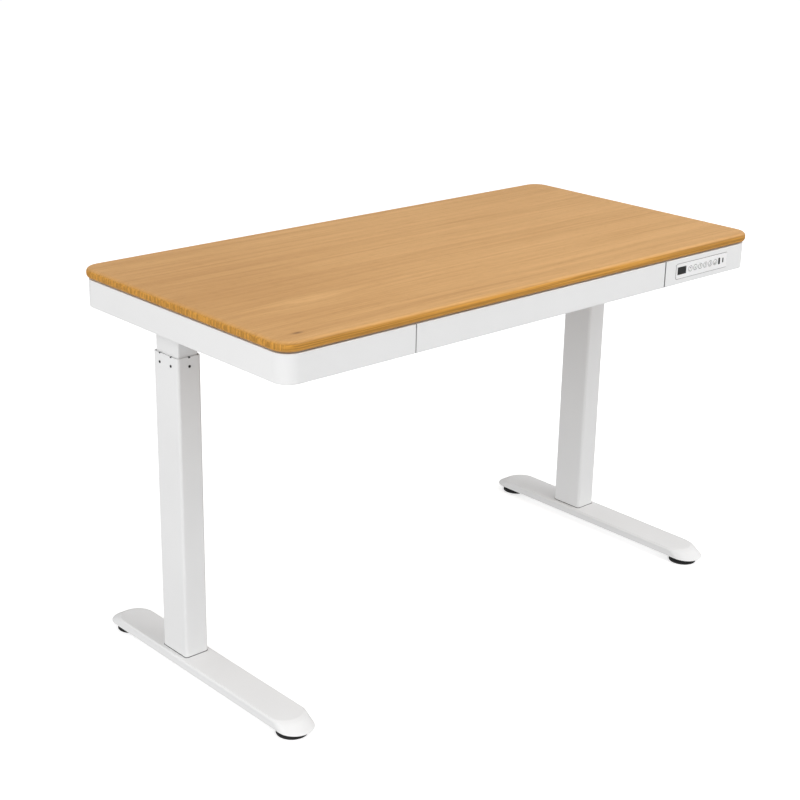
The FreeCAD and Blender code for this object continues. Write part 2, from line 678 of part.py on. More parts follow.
# ---------------------------------------------------------------- drawer
def make_drawer():
    """Drawer front, drawer box and three nested slide members on each side."""
    low = "desk_height - top_thick - apron_gap - apron_tall"
    front = new_body("drawer_front", "drawer_mid", "-(desk_depth / 2 - apron_set)", low)
    long = "drawer_open - 2 * drawer_gap"
    face = new_sketch(front)
    draw_box(face, long, "drawer_fold", "0", "drawer_fold / 2")
    extrude(front, face, "apron_tall")
    dress(front, "Fillet", "apron_fold", lambda edge: edge.BoundBox.YMax < 0.01)
    fold = new_sketch(front, "XY", "apron_wall")
    draw_box(fold, f"{long} + 2", "drawer_fold", "0", "drawer_fold / 2 + apron_wall")
    extrude(front, fold, "apron_tall - 2 * apron_wall", "Pocket", flip=True)
    box = new_body("drawer_box", "drawer_mid", "-(desk_depth / 2 - apron_set - apron_wall)", f"{low} + 4")
    wide = "drawer_open - 2 * drawer_side"
    outer = new_sketch(box)
    draw_box(outer, wide, "drawer_deep", "0", "drawer_deep / 2")
    extrude(box, outer, "drawer_tall")
    dress(box, "Fillet", "4", along(Vector(0, 0, 1)))
    inner = new_sketch(box, "XY", "drawer_wall")
    draw_box(inner, f"{wide} - 2 * drawer_wall", "drawer_deep - 2 * drawer_wall", "0", "drawer_deep / 2")
    extrude(box, inner, "drawer_tall", "Pocket", flip=True)
    for side, sign in SIDES.items():
        make_slide(side, sign)


def make_slide(side, sign):
    """Outer, middle and inner slide members; the outer one hangs from the top."""
    edge = f"drawer_mid + {sign} * (drawer_open / 2 - drawer_side)"
    long = "drawer_deep - drawer_fold - 4"
    y = f"-(desk_depth / 2 - apron_set) + drawer_fold + 2 + ({long}) / 2"
    under = "desk_height - top_thick"
    member = block("slide_inner_" + side, "2", long, "20", f"{edge} + {sign}", y, f"{under} - 40")
    member.Label = member.Name
    SUBPARTS.append(member)
    web = block("middle_web", "5", long, "28", f"{edge} + {sign * 5}", y, f"{under} - 44")
    groove = block("middle_groove", "3", "drawer_deep + 20", "20.8", f"{edge} + {sign * 3.4}", y,
                   f"{under} - 40.4")
    combine("Cut", "slide_middle_" + side, web, groove)
    rail = block("outer_rail", "3", long, "46", f"{edge} + {sign * 9.5}", y, f"{under} - 46")
    flange = block("outer_flange", "16", long, "2", f"{edge} + {sign * 16}", y, f"{under} - 2")
    combine("Fuse", "slide_outer_" + side, rail, flange)


# ---------------------------------------------------------------- control panel and electrics
def key_names():
    """The six keys from left to right."""
    return ["key_up", "key_down", "key_preset_1", "key_preset_2", "key_preset_3", "key_store"]


def make_panel():
    """Panel plate, its keys, display window, sockets, circuit board and rear cover."""
    face = "-(desk_depth / 2 - apron_set)"
    plate = new_body("panel_plate", "panel_x", face, "panel_z")
    layers = (("0", "panel_wide", "panel_tall", "panel_proud"),
              ("-8", "panel_wide - 7", "panel_tall - 7", "8"))
    for offset, wide, tall, thick in layers:
        layer = new_sketch(plate, "XZ", offset)
        draw_box(layer, wide, tall, "0", "-plate_drop")
        extrude(plate, layer, thick)
    half = size("panel_wide") / 2
    across = along(Vector(0, 1, 0), 0.5)
    dress(plate, "Fillet", "3", lambda edge: across(edge) and abs(edge.BoundBox.Center.x) > half - 0.1)
    dress(plate, "Fillet", "0.4", lambda edge: edge.BoundBox.YMax < 0.01 - size("panel_proud"))
    openings = new_sketch(plate, "XZ", "panel_proud")
    for number in range(len(key_names())):
        draw_circle(openings, "key_radius + 0.3", f"key_first + {number} * key_pitch")
    draw_box(openings, "lens_wide + 0.6", "lens_tall + 0.6", "lens_x")
    draw_box(openings, "6", "13.6", "port_a_x")
    draw_box(openings, "3.8", "9.8", "port_c_x")
    extrude(plate, openings, "20", "Pocket")
    for number, name in enumerate(key_names()):
        key = new_body(name, f"panel_x + key_first + {number} * key_pitch", face, "panel_z")
        flange = new_sketch(key, "XZ", "-9.6")
        draw_circle(flange, "key_radius + 1")
        extrude(key, flange, "1.2")
        cap = new_sketch(key, "XZ", "-9")
        draw_circle(cap, "key_radius")
        extrude(key, cap, "9 + panel_proud + 0.5")
        dress(key, "Fillet", "0.4", lambda edge: edge.BoundBox.YMax < -1.49)
    lens = new_body("display_lens", "panel_x + lens_x", face, "panel_z")
    glass = new_sketch(lens, "XZ", "-3")
    draw_box(glass, "lens_wide", "lens_tall")
    extrude(lens, glass, "3.2 + panel_proud")
    make_port("usb_a_port", "port_a_x", "5.4", "13", "2", "10.6")
    make_port("usb_c_port", "port_c_x", "3.2", "9.2", "0.8", "6.6")
    board = block("panel_board", "panel_wide - 12", "1.6", "panel_tall - 8", "panel_x", f"{face} + 13.8",
                  "panel_z - (panel_tall - 8) / 2")
    board.Label = board.Name
    SUBPARTS.append(board)
    cover = new_body("panel_cover", "panel_x", face, "panel_z")
    shell = new_sketch(cover, "XZ", "-22")
    draw_box(shell, "panel_wide - 1", "panel_tall + 5")
    extrude(cover, shell, "19.5")
    dress(cover, "Fillet", "2", along(Vector(0, 1, 0)))
    inside = new_sketch(cover, "XZ", "-20")
    draw_box(inside, "panel_wide - 5", "panel_tall + 1")
    extrude(cover, inside, "20", "Pocket", flip=True)


def make_port(label, centre, wide, tall, tongue, reach):
    """A metal socket shell with the tongue that a plug slides over."""
    port = new_body(label, f"panel_x + {centre}", "-(desk_depth / 2 - apron_set)", "panel_z")
    shell = new_sketch(port, "XZ", "-13")
    draw_box(shell, wide, tall)
    extrude(port, shell, "13.1 + panel_proud")
    mouth = new_sketch(port, "XZ", "panel_proud + 0.1")
    draw_box(mouth, f"{wide} - 0.6", f"{tall} - 0.6")
    extrude(port, mouth, "12.5", "Pocket")
    blade = new_sketch(port, "XZ", "-12")
    draw_box(blade, tongue, reach)
    extrude(port, blade, "11")


def make_electrics():
    """Control box under the top and the appliance inlet in the rear apron."""
    low = "desk_height - top_thick - apron_gap - apron_tall"
    shell = block("control_shell", "240", "84", "36", "-140", "220", "desk_height - top_thick - 36")
    hollow = block("control_hollow", "235", "79", "31", "-140", "220", "desk_height - top_thick - 33.5")
    sockets = [block(f"control_socket_{n}", "14", "10", "9", f"{-220 + 26 * n}", "178",
                     "desk_height - top_thick - 24") for n in range(4)]
    combine("Cut", "control_box", shell, hollow, *sockets)
    inlet = new_body("power_inlet", "200", "desk_depth / 2 - apron_set", f"{low} + apron_tall / 2")
    flange = new_sketch(inlet, "XZ", "-2")
    draw_box(flange, "34", "26")
    extrude(inlet, flange, "2")
    barrel = new_sketch(inlet, "XZ", "0")
    draw_box(barrel, "27.4", "19.8")
    extrude(inlet, barrel, "24")
    mouth = new_sketch(inlet, "XZ", "-2")
    draw_box(mouth, "24.4", "16.4")
    extrude(inlet, mouth, "20", "Pocket", flip=True)
    pins = new_sketch(inlet, "XZ", "3")
    for x, z in ((-7, -2), (0, 2), (7, -2)):
        draw_box(pins, "2", "4", str(x), str(z))
    extrude(inlet, pins, "17")


# ---------------------------------------------------------------- fasteners
def make_fasteners():
    """Groups of identical screws and bolts, at places read from the sheet."""
    column_x, column_y = size("column_x"), size("column_y")
    left, up, ahead = Vector(-1, 0, 0), Vector(0, 0, 1), Vector(0, -1, 0)
    glide, frame, foot = [], [], []
    across, deep = size("outer_wide") / 2, size("outer_deep") / 2
    level = size("screw_level")
    for sign in SIDES.values():
        centre = Vector(sign * column_x, column_y, 0)
        for face in (-1, 1):
            for spot in (-17, 17):
                start = centre + Vector(face * across, spot, level)
                glide.append(screw(start, left * face, 2.6, 0.7, 1.5, 2.5))
            start = centre + Vector(0, face * deep, level)
            glide.append(screw(start, ahead * face, 2.6, 0.7, 1.5, 2.5))
            for spot in (-14, 14):
                tab = centre + Vector(spot, face * size("head_long") / 2, size("desk_height") - 38)
                frame.append(screw(tab, ahead * face, 5, 3, 3, 16))
                under = centre + Vector(spot * 15 / 14, face * 27, size("foot_top") - size("foot_wall"))
                foot.append(screw(under, up, 6, 4, 4, 9))
    flange = size("desk_height") - size("top_thick") - size("apron_gap") - size("apron_wall")
    half_x = size("desk_width") / 2 - 14
    half_y = size("desk_depth") / 2 - 14
    places = [(sign * half_x, y) for sign in (-1, 1) for y in (-180, 0, 180)]
    places += [(x, half_y) for x in (-520, -260, 0, 300, 520)]
    places += [(-520, -half_y), (-360, -half_y), (360, -half_y), (540, -half_y)]
    wood = [screw(Vector(x, y, flange), up, 4.5, 2.5, 2, 14) for x, y in places]
    group("glide_screws", glide)
    group("frame_bolts", frame)
    group("foot_bolts", foot)
    group("desktop_screws", wood)


# ---------------------------------------------------------------- the whole desk
for side, sign in SIDES.items():
    make_foot(side, sign)
    make_outer_tube(side, sign)
    make_glide_collar(side, sign)
    make_inner_tube(side, sign)
    make_column_head(side, sign)
    make_drive(side, sign)
    make_gearbox(side, sign)
    for end, word in ((-1, "front"), (1, "rear")):
        make_leveller(f"leveller_{word}_{side}", sign, end)
make_cross_shaft()
make_gears()
make_motor()
make_rail("cross_rail_front", "column_y - head_long / 2 + head_plate + rail_deep / 2")
make_rail("cross_rail_rear", "column_y + head_long / 2 - head_plate - rail_deep / 2")
make_desktop()
make_apron()
make_drawer()
make_panel()
make_electrics()
make_fasteners()
doc.recompute()

for thing in doc.Objects:
    if {"Invalid", "Error"} & set(thing.State):
        raise RuntimeError(f"{thing.Name} failed: {thing.State}")
os.makedirs("parts", exist_ok=True)
for piece in SUBPARTS:
    if piece.Shape.isNull() or not piece.Shape.isValid():
        raise RuntimeError(f"{piece.Label} has no valid shape")
    piece.Shape.exportStep(f"parts/{piece.Label}.step")
print(len(SUBPARTS), "sub-parts written")
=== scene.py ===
"""Looks of a height adjustable standing desk, laid over its CAD frame.

The frame's own parts get their finishes, the control panel gets its printed marks
and trims, dark strips paint shadow lines in the joints, and a pale studio with a camera is set up round
the desk.
"""

import json
import math

import bmesh
import bpy
from mathutils import Matrix, Vector


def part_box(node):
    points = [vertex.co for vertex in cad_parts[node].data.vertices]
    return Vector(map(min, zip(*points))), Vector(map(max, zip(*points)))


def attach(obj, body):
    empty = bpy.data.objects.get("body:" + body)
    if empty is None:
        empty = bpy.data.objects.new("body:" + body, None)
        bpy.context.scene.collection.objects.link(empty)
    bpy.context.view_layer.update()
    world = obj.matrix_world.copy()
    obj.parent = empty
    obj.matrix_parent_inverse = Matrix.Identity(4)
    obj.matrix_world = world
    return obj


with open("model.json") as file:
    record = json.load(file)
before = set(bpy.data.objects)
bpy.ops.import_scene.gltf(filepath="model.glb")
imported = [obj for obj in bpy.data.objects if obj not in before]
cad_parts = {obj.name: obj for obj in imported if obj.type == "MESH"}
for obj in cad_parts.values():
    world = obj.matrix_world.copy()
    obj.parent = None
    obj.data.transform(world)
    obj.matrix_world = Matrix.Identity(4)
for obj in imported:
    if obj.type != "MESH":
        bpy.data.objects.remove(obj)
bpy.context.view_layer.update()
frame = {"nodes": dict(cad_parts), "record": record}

bl_info = {
    "name": "Standing desk looks",
    "version": (1, 0, 0),
    "blender": (4, 5, 0),
    "location": "View3D > Sidebar > Desk",
    "description": "Finishes, panel marks, painted shadow strips and studio for a height adjustable desk",
    "category": "Object",
}

CAP_RADIUS = 0.0059
PRINT_PROUD = 0.00006
SHADOW_LINE_PROUD = 0.0004
PLATE_CORNER = 0.003
TUBE_CORNER = 0.006
# Steps outwards and upwards of the section of the dark bead at each column's foot, a painted shadow line
BEAD = ((0.00002, 0.00005), (0.0007, 0.00005), (0.0008, 0.0004), (0.0004, 0.0009), (0.00002, 0.0010))
# Dark strips in the drawer gaps, painted shade: share of the gap, depth, distance behind the front and
# gap at each end
GAP_SHADE_SHARE = 0.85
GAP_SHADE_DEEP = 0.0020
GAP_SHADE_BACK = 0.0008
GAP_SHADE_END = 0.0004
SOCKET_WALL = 0.0003
# Socket inserts: tongue width of each socket, skin, depth, and how far back the tongue's cap sits
TONGUES = {"usb_a": 0.0020, "usb_c": 0.0008}
INSERT_SKIN = 0.0002
INSERT_DEEP = 0.0060
TONGUE_BACK = 0.0008
# Places of the pale eye and the small knot on the top
EYE = (-0.412, -0.130)
KNOT = (-0.545, -0.263)
# Lamps: name, place, and the stage setting that holds its watts
LAMPS = (
    ("key_lamp", (-3.6, -0.6, 2.2), "key"),
    ("front_lamp", (1.0, -3.8, 2.2), "front"),
    ("high_lamp", (0.5, -2.6, 4.2), "high"),
    ("right_lamp", (3.8, -1.2, 2.2), "right"),
    ("top_lamp", (0.0, 0.0, 4.0), "top"),
    ("low_lamp", (-4.0, -1.2, 0.7), "low"),
)
LAMP_WIDE = 2.4
LAMP_AIM = Vector((0, 0, 0.4))
FLOOR_REACH = 40.0
# Rings of the backdrop: share of the floor's reach, and height as a share of it
BACKDROP = ((1.0, -0.005), (1.0, 0.3), (0.8, 0.7), (0.4, 0.95), (0.05, 1.0))


def colour_prop(name, description, default):
    return bpy.props.FloatVectorProperty(
        name=name, description=description, subtype="COLOR", size=3, min=0, max=1, default=default
    )


def length_prop(name, description, default):
    return bpy.props.FloatProperty(
        name=name, description=description, unit="LENGTH", precision=5, default=default
    )


def number_prop(name, description, default):
    return bpy.props.FloatProperty(name=name, description=description, precision=3, default=default)


class WoodSettings(bpy.types.PropertyGroup):
    """The desk top's wood"""

    light: colour_prop("Early wood", "Pale bands of the top", (0.705, 0.406, 0.160))
    dark: colour_prop("Late wood", "Darker streaks of the top", (0.520, 0.270, 0.088))
    knot: colour_prop("Knot", "Heart of the small knot", (0.19, 0.085, 0.03))
    edge: colour_prop("Edge", "Long and cut edges of the top", (0.63, 0.300, 0.048))
    pore: length_prop("Pore depth", "Depth of the open pores", 0.00012)
    gloss: number_prop("Lacquer roughness", "Roughness of the satin lacquer", 0.50)


class CoatSettings(bpy.types.PropertyGroup):
    """Powder coat, plastics and rubber"""

    white: colour_prop("Powder coat", "White coat on the steel", (0.80, 0.80, 0.80))
    plastic: colour_prop("White plastic", "Panel plate and keys", (0.88, 0.865, 0.86))
    black: colour_prop("Black plastic", "Collars, control box and inlet", (0.030, 0.031, 0.033))
    rubber: colour_prop("Rubber", "Round feet", (0.007, 0.007, 0.0075))
    peel: length_prop("Orange peel", "Depth of the coat's fine waves", 0.00003)


class StageSettings(bpy.types.PropertyGroup):
    """Studio and camera"""

    place: bpy.props.FloatVectorProperty(
        name="Camera place",
        description="Where the camera stands",
        subtype="TRANSLATION",
        unit="LENGTH",
        default=(-2.0204, -2.1223, 1.4766),
    )
    azimuth: bpy.props.FloatProperty(
        name="Azimuth",
        description="Turn of the view from straight ahead towards the desk's right",
        unit="ROTATION",
        default=math.radians(42.42),
    )
    drop: bpy.props.FloatProperty(
        name="Drop", description="Downward tilt of the view", unit="ROTATION", default=math.radians(19.8)
    )
    roll: bpy.props.FloatProperty(
        name="Roll", description="Lean of the view", unit="ROTATION", default=math.radians(1.145)
    )
    lens: number_prop("Lens", "Focal length in millimetres on a 36 mm sensor", 70.79)
    shift: bpy.props.FloatProperty(
        name="Shift",
        description="Shift of the lens left and up, as a share of the picture",
        precision=6,
        default=0.000625,
    )
    sky: number_prop("Sky", "Strength of the even light all round", 0.584)
    key: number_prop("Key light", "Watts of the large lamp on the left", 42.0)
    front: number_prop("Front light", "Watts of the lamp in front", 36.0)
    high: number_prop("High light", "Watts of the lamp high up in front", 43.0)
    right: number_prop("Right light", "Watts of the lamp on the right", 33.2)
    top: number_prop("Top light", "Watts of the lamp overhead", 9.7)
    low: number_prop("Low light", "Watts of the low lamp on the left", 33.0)
    glow: number_prop("Floor glow", "How far the floor is lifted to white", 0.62)


class PanelSettings(bpy.types.PropertyGroup):
    """Marks and trims of the control panel"""

    ink: colour_prop("Ink", "Signs printed on the keys", (0.020, 0.020, 0.021))
    ring: colour_prop("Ring", "Rings round the keys", (0.11, 0.11, 0.112))
    ring_wide: length_prop("Ring width", "Width of the ring printed on a key", 0.0009)
    sign_tall: length_prop("Sign height", "Height of a key's sign", 0.0064)
    stroke: length_prop("Stroke", "Width of a sign's strokes", 0.0010)
    # Width of the grey band round the panel plate, which is a painted shadow line
    seal: length_prop("Shadow line width", "Width of the painted shadow line round the panel", 0.0009)


# Shader writing


class Value:
    """One output of a shader node. Operators on it add Math nodes to the same finish."""

    def __init__(self, finish, socket):
        self.finish = finish
        self.socket = socket

    def maths(self, operation, *others):
        return self.finish.node("Math", {"operation": operation}, dict(enumerate((self, *others))))

    def __add__(self, other):
        return self.maths("ADD", other)

    def __sub__(self, other):
        return self.maths("SUBTRACT", other)

    def __mul__(self, other):
        return self.maths("MULTIPLY", other)

    def __truediv__(self, other):
        return self.maths("DIVIDE", other)

    def __rsub__(self, other):
        return self.finish.node("Math", {"operation": "SUBTRACT"}, {0: other, 1: self})

    def __abs__(self):
        return self.maths("ABSOLUTE")

    __radd__ = __add__
    __rmul__ = __mul__


class Finish:
    """A material written node by node."""

    def __init__(self, name):
        self.material = bpy.data.materials.new(name)
        self.material.use_nodes = True
        self.tree = self.material.node_tree
        self.tree.nodes.clear()

    def node(self, kind, settings=None, sockets=None, out=0):
        """Adds a node, sets its settings, then fills its sockets, and gives one of its outputs."""
        made = self.tree.nodes.new("ShaderNode" + kind)
        for name, setting in (settings or {}).items():
            setattr(made, name, setting)
        for name, given in (sockets or {}).items():
            if isinstance(given, Value):
                self.tree.links.new(given.socket, made.inputs[name])
            else:
                made.inputs[name].default_value = given
        return Value(self, made.outputs[out]) if made.outputs else None

    def place(self):
        return self.node("TexCoord", out="Object")

    def facing(self):
        return self.split(self.node("TexCoord", out="Normal"))

    def split(self, vector):
        parts = self.node("SeparateXYZ", sockets={0: vector})
        node = parts.socket.node
        return [Value(self, node.outputs[axis]) for axis in range(3)]

    def join(self, x, y, z):
        return self.node("CombineXYZ", sockets={0: x, 1: y, 2: z})

    def noise(self, vector, scale, detail=2.0, rough=0.5):
        """Smooth noise. Scale is in cells per metre, one number or one for each axis."""
        scales = scale if isinstance(scale, tuple) else (scale, scale, scale)
        spread = self.node("VectorMath", {"operation": "MULTIPLY"}, {0: vector, 1: scales})
        return self.node(
            "TexNoise", sockets={"Vector": spread, "Scale": 1.0, "Detail": detail, "Roughness": rough}
        )

    def cells(self, vector, scale, feature="F1"):
        """Distance to the nearest of the scattered points, or to the border between two of them."""
        return self.node("TexVoronoi", {"feature": feature}, {"Vector": vector, "Scale": scale})

    def step(self, value, low, high):
        """A soft step from 0 to 1 between low and high."""
        return self.node(
            "MapRange",
            {"interpolation_type": "SMOOTHSTEP"},
            {"Value": value, "From Min": low, "From Max": high, "To Min": 0.0, "To Max": 1.0},
        )

    def bell(self, x, y, centre, reach):
        """1 at the centre, fading to 0 over the reach along x and y."""
        across = (x - centre[0]) / reach[0]
        along = (y - centre[1]) / reach[1]
        return (across * across + along * along).maths("MULTIPLY", -1.0).maths("EXPONENT")

    def mix(self, factor, first, second):
        ends = {6: first, 7: second}
        for socket, colour in ends.items():
            if not isinstance(colour, Value):
                ends[socket] = (*colour, 1.0)
        return self.node("Mix", {"data_type": "RGBA"}, {0: factor, **ends}, out=2)

    def bump(self, height, distance, strength=1.0):
        return self.node("Bump", sockets={"Height": height, "Distance": distance, "Strength": strength})

    def surface(self, **sockets):
        """Ends the material in a Principled shader. An underscore in a name stands for a space."""
        named = {name.replace("_", " "): given for name, given in sockets.items()}
        for name, given in named.items():
            if name == "Base Color" and not isinstance(given, Value):
                named[name] = (*given, 1.0)
        shader = self.node("BsdfPrincipled", sockets=named)
        self.node("OutputMaterial", sockets={"Surface": shader})
        return self.material


# Finishes, one for each material slot


def shade(colour, share):
    return tuple(channel * share for channel in colour)


def oak_finish(desk):
    """Honey oak under satin lacquer: long streaks, open pores, a pale eye, a small knot, cut edges, and
    painted shade darkening the left end of the top.
    """
    wood = desk.wood
    light, dark, knot, edge = (tuple(c) for c in (wood.light, wood.dark, wood.knot, wood.edge))
    oak = Finish("oak_top")
    place = oak.place()
    x, y = oak.split(place)[:2]
    sway = oak.noise(place, (1.1, 3.5, 1.0), 2.0) - 0.5
    eye = oak.bell(x, y, EYE, (0.085, 0.024))
    spot = oak.bell(x, y, KNOT, (0.030, 0.010))
    heart = oak.bell(x, y, KNOT, (0.0095, 0.0036))
    bent = y + sway * 0.030 - (y - EYE[1]) * eye * 0.80 + eye * 0.006 - (y - KNOT[1]) * spot * 0.7
    grain = oak.join(x, bent, 0.0)
    broad = oak.noise(grain, (0.45, 13.0, 1.0), 3.0)
    bands = oak.noise(grain, (0.9, 60.0, 1.0), 4.0, 0.6)
    lines = oak.noise(grain, (3.4, 340.0, 1.0), 4.0, 0.70)
    fibre = oak.noise(grain, (14.0, 1100.0, 1.0), 2.0)
    pores = oak.step(oak.noise(grain, (34.0, 1500.0, 1.0), 1.0), 0.60, 0.70)
    # Painted shade: a soft darker patch over the left end of the top, less the pale eye
    painted_shade_and_eye = oak.bell(x, y, (-0.52, 0.02), (0.32, 0.30)) * 0.12 - eye * 0.10
    late = oak.step(broad * 0.22 + bands * 0.32 + lines * 0.46 + painted_shade_and_eye, 0.38, 0.68)
    board = oak.mix(late, light, dark)
    fine = oak.mix((fibre - 0.35) * 0.36, board, shade(dark, 0.76))
    pored = oak.mix(pores * 0.32, fine, shade(dark, 0.50))
    knotted = oak.mix(heart * 0.92, pored, knot)
    nx, _, nz = oak.facing()
    side = 1.0 - oak.step(abs(nz), 0.30, 0.93)
    cut = oak.step(abs(nx), 0.55, 0.95)
    ends = oak.noise(place, (700.0, 210.0, 30.0), 4.0, 0.6)
    along = oak.noise(place, (3.0, 60.0, 330.0), 3.0, 0.6)
    edge_tone = cut * ends + (1.0 - cut) * along
    edge_wood = oak.mix(oak.step(edge_tone, 0.40, 0.60), edge, shade(edge, 0.62))
    colour = oak.mix(side, knotted, edge_wood)
    relief = 1.0 - pores * 0.8 - fibre * 0.25 - lines * 0.15
    rough = (lines - 0.5) * 0.10 + pores * 0.10 + side * 0.10 + wood.gloss
    return oak.surface(
        Base_Color=colour,
        Roughness=rough,
        Normal=oak.bump(relief, wood.pore),
        Specular_IOR_Level=0.25,
    )


def powder_finish(desk):
    """White powder coat: fine orange peel, faint clouding."""
    white = tuple(desk.coat.white)
    coat = Finish("white_steel")
    place = coat.place()
    cloud = coat.noise(place, 7.0, 3.0)
    peel = coat.noise(place, 850.0, 2.0, 0.6)
    speck = coat.step(coat.noise(place, 2600.0, 1.0), 0.66, 0.74)
    colour = coat.mix(coat.step(cloud, 0.25, 0.75), white, shade(white, 0.975))
    specked = coat.mix(speck * 0.05, colour, shade(white, 0.80))
    return coat.surface(
        Base_Color=specked,
        Roughness=cloud * 0.10 + peel * 0.06 + 0.36,
        Normal=coat.bump(peel, desk.coat.peel),
        Specular_IOR_Level=0.40,
    )


def rubber_finish(desk):
    """Black rubber with a matt bloom and dust low down."""
    black = tuple(desk.coat.rubber)
    rubber = Finish("black_rubber")
    place = rubber.place()
    z = rubber.split(place)[2]
    grain = rubber.noise(place, 1800.0, 2.0)
    bloom = rubber.noise(place, 60.0, 4.0, 0.6)
    dust = (1.0 - rubber.step(z, 0.0, 0.004)) * bloom * 0.20
    colour = rubber.mix(rubber.step(bloom, 0.3, 0.8), black, shade(black, 1.8))
    return rubber.surface(
        Base_Color=rubber.mix(dust, colour, (0.10, 0.097, 0.093)),
        Roughness=bloom * 0.15 + grain * 0.10 + 0.58,
        Normal=rubber.bump(grain, 0.00006),
        Specular_IOR_Level=0.35,
    )


def dark_plastic_finish(desk):
    """Black moulded plastic with a spark-eroded grain."""
    black = tuple(desk.coat.black)
    plastic = Finish("dark_plastic")
    place = plastic.place()
    pits = plastic.cells(place, 1400.0)
    cloud = plastic.noise(place, 25.0, 3.0)
    colour = plastic.mix(cloud, black, shade(black, 1.5))
    return plastic.surface(
        Base_Color=colour,
        Roughness=cloud * 0.12 + pits * 0.08 + 0.44,
        Normal=plastic.bump(pits, 0.00005),
    )


def white_plastic_finish(desk):
    """White moulded plastic with a soft matt grain."""
    white = tuple(desk.coat.plastic)
    plastic = Finish("white_plastic")
    place = plastic.place()
    grain = plastic.noise(place, 2400.0, 2.0)
    cloud = plastic.noise(place, 30.0, 2.0)
    return plastic.surface(
        Base_Color=plastic.mix(cloud, white, shade(white, 0.97)),
        Roughness=grain * 0.12 + cloud * 0.08 + 0.38,
        Normal=plastic.bump(grain, 0.00002),
        Subsurface_Weight=0.04,
    )


def zinc_finish(desk):
    """Zinc plated steel: soft spangle, drawing lines, a trace of yellow."""
    zinc = Finish("zinc_steel")
    place = zinc.place()
    lines = zinc.noise(place, (30.0, 900.0, 900.0), 3.0)
    spangle = zinc.cells(place, 240.0)
    tint = zinc.noise(place, 18.0, 3.0)
    colour = zinc.mix(tint, (0.60, 0.61, 0.63), (0.66, 0.64, 0.58))
    return zinc.surface(
        Base_Color=colour,
        Metallic=1.0,
        Roughness=lines * 0.14 + spangle * 0.10 + 0.22,
        Normal=zinc.bump(lines + spangle * 0.3, 0.00002),
    )


def black_steel_finish(desk):
    """Black oxide screws: dark, slightly oily, with rubbed rims."""
    oxide = Finish("black_steel")
    place = oxide.place()
    rubbed = oxide.noise(place, 900.0, 3.0, 0.6)
    colour = oxide.mix(oxide.step(rubbed, 0.55, 0.80), (0.018, 0.018, 0.020), (0.10, 0.10, 0.105))
    return oxide.surface(
        Base_Color=colour,
        Metallic=0.5,
        Roughness=rubbed * 0.2 + 0.32,
        Normal=oxide.bump(rubbed, 0.00003),
    )


def bronze_finish(desk):
    """Machined bronze with turning lines and a faint tarnish."""
    bronze = Finish("bronze")
    place = bronze.place()
    turned = bronze.noise(place, (6.0, 6.0, 2600.0), 2.0)
    tarnish = bronze.noise(place, 70.0, 4.0, 0.6)
    colour = bronze.mix(bronze.step(tarnish, 0.4, 0.8), (0.72, 0.47, 0.20), (0.42, 0.25, 0.11))
    return bronze.surface(
        Base_Color=colour,
        Metallic=1.0,
        Roughness=turned * 0.15 + tarnish * 0.20 + 0.18,
        Normal=bronze.bump(turned, 0.00002),
    )


def aluminium_finish(desk):
    """Die cast aluminium: fine sandy skin with flow marks."""
    cast = Finish("cast_aluminium")
    place = cast.place()
    sand = cast.noise(place, 1300.0, 3.0, 0.7)
    flow = cast.noise(place, (22.0, 60.0, 60.0), 4.0)
    return cast.surface(
        Base_Color=cast.mix(flow, (0.62, 0.63, 0.65), (0.48, 0.49, 0.50)),
        Metallic=0.9,
        Roughness=sand * 0.18 + flow * 0.12 + 0.36,
        Normal=cast.bump(sand, 0.00007),
    )


def board_finish(desk):
    """Green solder mask over copper tracks on a square grid."""
    board = Finish("circuit_board")
    place = board.place()
    wander = board.cells(place, 260.0, "DISTANCE_TO_EDGE")
    track = 1.0 - board.step(wander, 0.05, 0.11)
    fleck = board.noise(place, 700.0, 2.0)
    colour = board.mix(track * 0.7, (0.012, 0.10, 0.035), (0.045, 0.25, 0.085))
    return board.surface(
        Base_Color=board.mix(fleck * 0.2, colour, (0.01, 0.06, 0.03)),
        Roughness=fleck * 0.10 + 0.22,
        Normal=board.bump(track, 0.00004),
    )


def display_finish(desk):
    """Smoked display window, dark and glossy, with a trace of fine wiping marks."""
    lens = Finish("display_glass")
    place = lens.place()
    haze = lens.noise(place, 120.0, 3.0)
    wipe = lens.noise(place, (60.0, 400.0, 900.0), 3.0)
    return lens.surface(
        Base_Color=lens.mix(haze, (0.006, 0.0065, 0.007), (0.014, 0.0145, 0.0155)),
        Roughness=wipe * 0.06 + 0.05,
        Specular_IOR_Level=0.40,
    )


FINISHES = {
    "oak_top": oak_finish,
    "white_steel": powder_finish,
    "black_rubber": rubber_finish,
    "dark_plastic": dark_plastic_finish,
    "white_plastic": white_plastic_finish,
    "zinc_steel": zinc_finish,
    "black_steel": black_steel_finish,
    "bronze": bronze_finish,
    "cast_aluminium": aluminium_finish,
    "circuit_board": board_finish,
    "display_glass": display_finish,
}


class DESK_OT_finishes(bpy.types.Operator):
    """Gives every CAD part the finish of its material slot"""

    bl_idname = "desk.finishes"
    bl_label = "Finishes"

    def execute(self, context):
        desk = context.scene.desk
        made = {slot: finish(desk) for slot, finish in FINISHES.items()}
        for part in frame["record"]["subparts"]:
            for slot in frame["nodes"][part["node"]].material_slots:
                slot.material = made[part["material_slot"]]
        return {"FINISHED"}


def print_and_shadow_line_finish(name, colour):
    """Screen printed ink: a flat coat with ragged, slightly raised grains. Also colours the grey band
    round the panel plate, a painted shadow line.
    """
    ink = Finish(name)
    place = ink.place()
    grains = ink.noise(place, 5200.0, 2.0, 0.6)
    return ink.surface(
        Base_Color=ink.mix(ink.step(grains, 0.3, 0.8), colour, shade(colour, 1.25)),
        Roughness=grains * 0.2 + 0.45,
        Normal=ink.bump(grains, 0.00001),
    )


# Panel marks and trims


